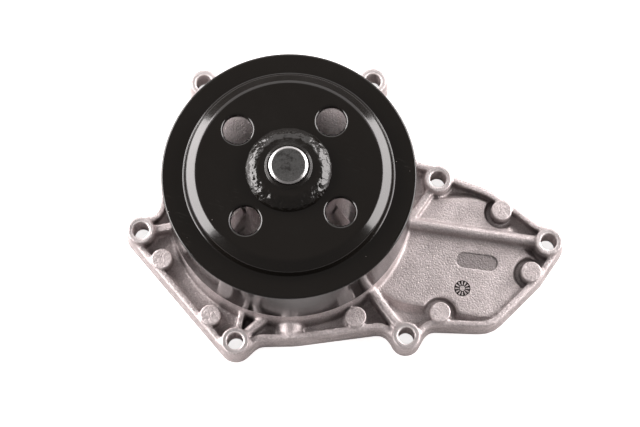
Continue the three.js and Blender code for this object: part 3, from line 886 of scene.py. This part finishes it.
# %% Balls and cages
BALL_COUNT = 7
for row, side in (("front", 1), ("rear", -1)):
    height = BALL_ROWS[row]
    near, far = height - side * 0.8, height + side * 4.2
    low, high = min(near, far), max(near, far)
    cage = lathe(f"cage_{row}_moulded", [(9.3, low, 0.3), (11.6, low, 0.3), (11.6, high, 0.3),
                                        (9.3, high, 0.3)], segments=140, pieces=3)
    pockets = []
    for k in range(BALL_COUNT):
        turn = 2 * math.pi * k / BALL_COUNT
        spot = (BALL_CIRCLE * math.cos(turn), BALL_CIRCLE * math.sin(turn), height)
        ball = lathe(f"ball_{row}_{k + 1}_lapped", groove(0, 0, BALL_SIZE, -90, 90, 24),
                     segments=48, closed=False)
        moved(ball, *spot)
        complete(ball, f"{row}_ball_set", [f"ball_{row}_{k + 1}"],
                 bearing_steel, crisp=180)
        pocket = lathe("pocket", groove(0, 0, BALL_SIZE + 0.3, -90, 90, 16), segments=32,
                       closed=False)
        pockets.append(moved(pocket, *spot))
    combine(cage, pockets)
    complete(cage, f"{row}_ball_set", [f"cage_{row}"], cage_nylon)

# %% [markdown]
# ## Face seal
# The coolant is kept in by two flat rings that run on each other: a carbon ring, held by a
# rubber bellows and a spring in a steel cup, and a ceramic seat that turns with the shaft.
# They are turned pieces again, with every edge rounded as a pressing or a moulding has it. The
# collar behind the seat holds the impeller on the shaft. One list and one loop make them all.

# %% Both halves of the seal and the impeller's collar
SEAL_PIECES = [
    ("body", "seal_cup", "seal_cup_pressed", "stainless", stainless, [
        (16.9, 14.2, 0.4), (20.5, 14.2, 0.3), (20.5, 15.1, 0.3), (17.9, 15.1, 0.5),
        (17.9, 26.2, 1.0), (10.5, 26.2, 0.3), (10.5, 25.3, 0.3), (16.9, 25.3, 0.8)]),
    ("body", "seal_carbon_ring", "seal_carbon_face", "carbon", carbon, [
        (9.4, 15.3, 0.1), (11.8, 15.3, 0.1), (11.8, 16.6, 0.2), (12.8, 16.6, 0.2),
        (12.8, 19.3, 0.2), (9.4, 19.3, 0.2)]),
    ("body", "seal_retainer", "seal_retainer_pressed", "stainless", stainless, [
        (13.1, 16.9, 0.3), (16.4, 16.9, 0.3), (16.4, 17.7, 0.3), (13.9, 17.7, 0.3),
        (13.9, 20.0, 0.3), (13.1, 20.0, 0.3)]),
    ("body", "seal_bellows", "seal_bellows_moulded", "seal_rubber", seal_rubber, [
        (9.2, 19.6, 0.2), (12.8, 19.6, 0.3), (12.8, 20.6, 0.3), (11.2, 21.3, 0.4),
        (12.8, 22.4, 0.5), (12.8, 23.9, 0.3), (16.4, 23.9, 0.3), (16.4, 25.0, 0.3),
        (9.2, 25.0, 0.3), (9.2, 22.6, 0.4), (9.9, 21.6, 0.4)]),
    ("rotor", "seal_seat_cup", "seal_seat_cup_moulded", "seal_rubber", seal_rubber, [
        (8.3, 10.4, 0.2), (13.0, 10.4, 0.3), (13.0, 13.0, 0.3), (12.2, 13.0, 0.3),
        (12.2, 11.4, 0.2), (8.3, 11.4, 0.2)]),
    ("rotor", "seal_seat_ring", "seal_seat_lapped", "seat_ceramic", seat_ceramic, [
        (8.6, 11.7, 0.3), (11.9, 11.7, 0.3), (11.9, 15.0, 0.15), (8.6, 15.0, 0.15)]),
    ("rotor", "impeller_hub", "impeller_collar", "impeller_steel", impeller_steel, [
        (8.3, 1.0, 0.4), (15.0, 1.0, 1.0), (15.0, 13.4, 0.4), (13.3, 13.4, 0.4),
        (13.3, 10.1, 0.4), (8.3, 10.1, 0.2)]),
]
for body, node, name, slot, material, outline in SEAL_PIECES:
    complete(lathe(name, outline, segments=128), body, [node], material)

# %% [markdown]
# ### Spring
# A coil spring is a round wire swept along a helix. A curve with a bevel would do, but a mesh
# tube lets both cut ends be closed and slightly flattened like a ground wire end.

# %% Spring
def tube(name, path, wire, sides=12):
    """A closed round tube of radius `wire` along a list of points, in millimetres."""
    rings = []
    for i, point in enumerate(path):
        ahead = (path[min(i + 1, len(path) - 1)] - path[max(i - 1, 0)]).normalized()
        side = ahead.cross(Vector((0, 0, 1))).normalized()
        up = side.cross(ahead)
        at_end = i in (0, len(path) - 1)
        size = wire * (0.8 if at_end else 1.0)
        turns = [2 * math.pi * k / sides for k in range(sides)]
        rings.append([point + size * (math.cos(a) * side + math.sin(a) * up) for a in turns])
    return loft(name, rings)


COIL_RADIUS, COIL_TURNS, COIL_LOW, COIL_HIGH, WIRE = 14.9, 2.5, 18.6, 23.0, 0.6
STEPS = 220
coil_path = []
for k in range(STEPS + 1):
    share = k / STEPS
    turn = 2 * math.pi * COIL_TURNS * share
    coil_path.append(Vector((COIL_RADIUS * math.cos(turn), COIL_RADIUS * math.sin(turn),
                             COIL_LOW + (COIL_HIGH - COIL_LOW) * share)))
spring = tube("seal_spring_wound", coil_path, WIRE)
complete(spring, "body", ["seal_spring"], stainless)

# %% [markdown]
# ## Impeller
# The impeller is pressed from zinc-plated sheet: a flat disc with a rolled edge and seven
# vanes, swept back against the turn. Each vane is a thin curved wall made from its two side
# lines, slightly rounded at its free edge, and all are joined to the disc by a boolean union,
# so that the piece is one closed skin.

# %% Impeller
DISC_BORE, DISC_RADIUS, DISC_BACK, DISC_SHEET = 15.3, 31.0, 11.3, 1.6
VANE_COUNT, VANE_THICK, VANE_BACK = 7, 1.8, 2.0
VANE_INNER, VANE_OUTER, VANE_SWEEP = 16.4, 30.4, 0.62
VANE_STEPS = 24

impeller = lathe("impeller_pressed", [
    (DISC_BORE, DISC_BACK, 0.3), (DISC_RADIUS, DISC_BACK, 0.7),
    (DISC_RADIUS, DISC_BACK + DISC_SHEET, 0.7), (DISC_BORE, DISC_BACK + DISC_SHEET, 0.3)],
    segments=192)


def vane(angle):
    """One vane as a closed wall with a rounded free edge."""
    levels = [(DISC_BACK + 0.5, 1.0), (VANE_BACK + 0.7, 1.0), (VANE_BACK + 0.25, 0.82),
              (VANE_BACK, 0.45)]
    rings = []
    for height, share in levels:
        ring = []
        for sign in (-1, 1):
            line = []
            for k in range(VANE_STEPS + 1):
                along = k / VANE_STEPS
                distance = VANE_INNER + (VANE_OUTER - VANE_INNER) * along
                turn = angle - VANE_SWEEP * along ** 1.2
                turn += sign * share * VANE_THICK / 2 / distance
                line.append((distance * math.cos(turn), distance * math.sin(turn), height))
            ring += line if sign < 0 else line[::-1]
        rings.append(ring)
    return loft("vane", rings, wall=True)


vanes = [vane(2 * math.pi * k / VANE_COUNT) for k in range(VANE_COUNT)]
combine(impeller, vanes, "UNION")
complete(impeller, "rotor", ["impeller"], impeller_steel)

# %% [markdown]
# ## Joint seal
# A moulded rubber cord lies in the groove of the joint face. The CAD band already follows the
# groove, so a copy of it gets its long edges rounded with a bevel.

# %% Joint seal
def copy_of(node, name):
    """A loose copy of a CAD node's mesh with its doubled points merged."""
    shape = bmesh.new()
    shape.from_mesh(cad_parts[node].data)
    bmesh.ops.remove_doubles(shape, verts=shape.verts, dist=1e-6)
    return placed(name, shape)


joint_seal = copy_of("body_seal", "joint_seal_moulded")
soften = joint_seal.modifiers.new("soften", "BEVEL")
soften.width = 0.7 * MM
soften.segments = 4
soften.limit_method = "ANGLE"
soften.angle_limit = math.radians(50)
bake(joint_seal)
complete(joint_seal, "body", ["body_seal"], seal_rubber, crisp=60)

# %% [markdown]
# ## Casting
# A die casting has no sharp corners: every wall meets the floor in a fillet, and every edge is
# rounded. The CAD shape has the right walls but hard edges. Bevels fail on a shape with so many
# crossing ribs, so the copy is remeshed into small even voxels and smoothed, which melts all
# its edges alike, as a mould does. What a machine cuts afterwards stays crisp: before the
# melting the bores are plugged and the milled faces get some spare metal, and afterwards fine
# cutters take both away again.

# %% Casting with spare metal
TOWER_TOP = 58.8
SPARE = 2.0

casting = copy_of("housing", "housing_casting")
shape = bmesh.new()
shape.from_mesh(casting.data)
shape.normal_update()
for height, sign in ((JOINT_FACE, -1), (BOSS_TOP, 1), (TOWER_TOP, 1)):
    flat = [f for f in shape.faces if sign * f.normal.z > 0.99
            and abs(f.calc_center_median().z / MM - height) < 0.01]
    grown = bmesh.ops.extrude_face_region(shape, geom=flat)
    lifted = [g for g in grown["geom"] if isinstance(g, bmesh.types.BMVert)]
    bmesh.ops.translate(shape, verts=lifted, vec=Vector((0, 0, sign * SPARE * MM)))
    bmesh.ops.delete(shape, geom=flat, context="FACES")
shape.to_mesh(casting.data)
shape.free()
print("casting with spare metal:", len(casting.data.polygons), "faces")

# %% [markdown]
# ### Melting the edges
# Plugs and casting are joined, and the voxel remesh turns them into one skin, which a few rounds
# of smoothing soften. Thinning then drops half of its small faces, mostly where it is flat.

# %% Plug, remesh and smooth
VOXEL = 0.56
SMOOTHING = 6
KEPT_SHARE = 0.5


def cylinder(name, radius, low, high, sides=48, at=(0.0, 0.0)):
    """An upright solid cylinder, in millimetres."""
    line = [(0, low), (radius, low), (radius, high), (0, high)]
    return moved(lathe(name, line, sides, closed=False), *at)


plugs = [cylinder("plug", 4.2, -SPARE, BOSS_TOP + SPARE, at=spot) for spot in BOSSES]
for radius, low, high in ((46.6, -SPARE, 14.8), (19.0, 14.0, 27.2),
                          (16.0, 26.0, TOWER_TOP + SPARE)):
    plugs.append(cylinder("plug", radius, low, high))
with bpy.context.temp_override(active_object=casting, object=casting,
                               selected_objects=[casting, *plugs],
                               selected_editable_objects=[casting, *plugs]):
    bpy.ops.object.join()
melt = casting.modifiers.new("melt", "REMESH")
melt.mode = "VOXEL"
melt.voxel_size = VOXEL * MM
relax = casting.modifiers.new("relax", "SMOOTH")
relax.factor = 0.5
relax.iterations = SMOOTHING
thin = casting.modifiers.new("thin", "DECIMATE")
thin.ratio = KEPT_SHARE
bake(casting)
print("casting melted:", len(casting.data.polygons), "faces")

# %% [markdown]
# ### Milling
# One wide cutter faces the joint, and a small one faces each boss. The melting left the bosses
# slightly loose in shape, so each gets a turned crown with a true round edge.

# %% Mill the joint face and the bosses
mills = [cylinder("mill", 130, -6, JOINT_FACE, 64, at=(24, 0))]
mills += [cylinder("mill", 7.4, BOSS_TOP - 0.9, 18, at=spot) for spot in BOSSES]
combine(casting, mills)
crown_line = [(3.0, 9.0, 0), (6.1, 9.0, 0), (5.9, BOSS_TOP, 0.8), (3.0, BOSS_TOP, 0)]
combine(casting, [moved(lathe("crown", crown_line, 72), *spot) for spot in BOSSES], "UNION")
print("casting milled:", len(casting.data.polygons), "faces")

# %% [markdown]
# ### Drilling and boring
# The bolt holes are drilled with a small chamfer at each end. The chamber, the seal's seat and
# the bearing's bore are one stepped cut about the shaft's axis, and the tower's end is faced.

# %% Drill and bore
DRILL_LINE = [(0, -1), (3.9, -1), (3.9, 0), (3.5, 0.4), (3.5, 12.3), (3.6, 12.65),
              (3.85, 12.92), (4.15, 13.02), (4.15, 14), (0, 14)]
BORE_LINE = [
    (0, -1), (46.6, -1), (46.6, 0), (46, 0.6), (46, 11.2), (45.1, 13.3), (43, 14.2),
    (23, 14.2), (23, 15.4), (18.2, 15.4), (18.2, 26.5), (11.5, 26.5), (11.5, 28.0),
    (15.3, 28.0), (15.3, 58.1), (16.0, TOWER_TOP), (16.0, 62), (0, 62),
]
cutters = [moved(lathe("drill", DRILL_LINE, 56, closed=False), *spot) for spot in BOSSES]
cutters.append(lathe("bore", BORE_LINE, 160, closed=False))
cutters.append(cylinder("face", 24, TOWER_TOP, 63, 64))
combine(casting, cutters)
print("casting bored:", len(casting.data.polygons), "faces")

# %% [markdown]
# ### Panel and recess
# The panel is a shallow slot with round ends, as a flat round cutter leaves when it is swept
# along. Beside it a round recess waits for the date mark.

# %% Panel and recess
PANEL_PLACE, PANEL_TURN = (80.8, -24.5), math.radians(-8)
PANEL_HALF_RUN, PANEL_END = 5.6, 3.4
MARK_PLACE, MARK_RADIUS, MARK_FLOOR = (74.2, -36.4), 3.5, 7.5
CLEAR = 9.5

rim = [(end * (PANEL_HALF_RUN + PANEL_END * math.cos(a)), end * PANEL_END * math.sin(a))
       for end in (1, -1) for a in (math.pi * (k / 16 - 0.5) for k in range(17))]
panel = loft("panel", [[(x, y, height) for x, y in rim] for height in (PANEL_FLOOR, CLEAR)])
panel.data.transform(Matrix.Rotation(PANEL_TURN, 4, "Z"))
recess = cylinder("recess", MARK_RADIUS, MARK_FLOOR, CLEAR, 64, at=MARK_PLACE)
combine(casting, [moved(panel, *PANEL_PLACE), recess])
print("panel and recess cut")

# %% [markdown]
# ### Pads
# Six round pads stand on the rim, where pins push the casting out of its mould. Their flat tops
# carry a few extra rings, since long thin triangles would upset the curvature mask.

# %% Pads
PADS = [(91.7, -2.4), (103.8, -29.8), (64.3, -47.6), (28.1, -49.6), (-34.2, -48.8),
        (-55.5, -24.1)]
PAD_TOP = 11.6
pad_line = [(0, 4.0), (4.75, 4.0), (4.5, PAD_TOP - 0.55), (4.4, PAD_TOP - 0.25),
            (4.2, PAD_TOP - 0.07)]
pad_line += [(radius, PAD_TOP) for radius in (3.95, 3.7, 3.4, 1.5, 0)]
combine(casting, [moved(lathe("pad", pad_line, 48, closed=False), *spot) for spot in PADS],
        "UNION")
complete(casting, "body", ["housing"], cast_aluminium, crisp=42)

# %% [markdown]
# ## Cast date mark
# Moulds carry a small round insert whose ticks record the date. Here it is a plain ring of
# ticks round a raised centre, in the shallow recess, without any figures.

# %% Date mark
TICKS = 12
MARK_TOP = 8.2
TICK_CORNERS = [(1.5, -0.14), (3.1, -0.14), (3.1, 0.14), (1.5, 0.14)]

edge = MARK_RADIUS - 0.04
mark = lathe("date_mark", [(0, 7.4), (edge, 7.4), (edge, 7.6), (1.25, 7.6), (1.1, MARK_TOP),
                           (0, MARK_TOP)], 64, closed=False)
ticks = []
for k in range(TICKS):
    middle = 2 * math.pi * k / TICKS
    ticks.append(loft("tick", [
        [(r * math.cos(middle + narrow * a), r * math.sin(middle + narrow * a), height)
         for r, a in TICK_CORNERS] for height, narrow in ((MARK_FLOOR, 1.0), (MARK_TOP, 0.8))]))
combine(mark, ticks, "UNION")
moved(mark, *MARK_PLACE)
complete(mark, "body", [], cast_mark)

# %% [markdown]
# ## Size of the visual model
# The box round the visual model is printed in millimetres.

# %% Size
low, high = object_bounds()
print("visual box in mm:", [round(v / MM, 1) for v in (*low, *high)])
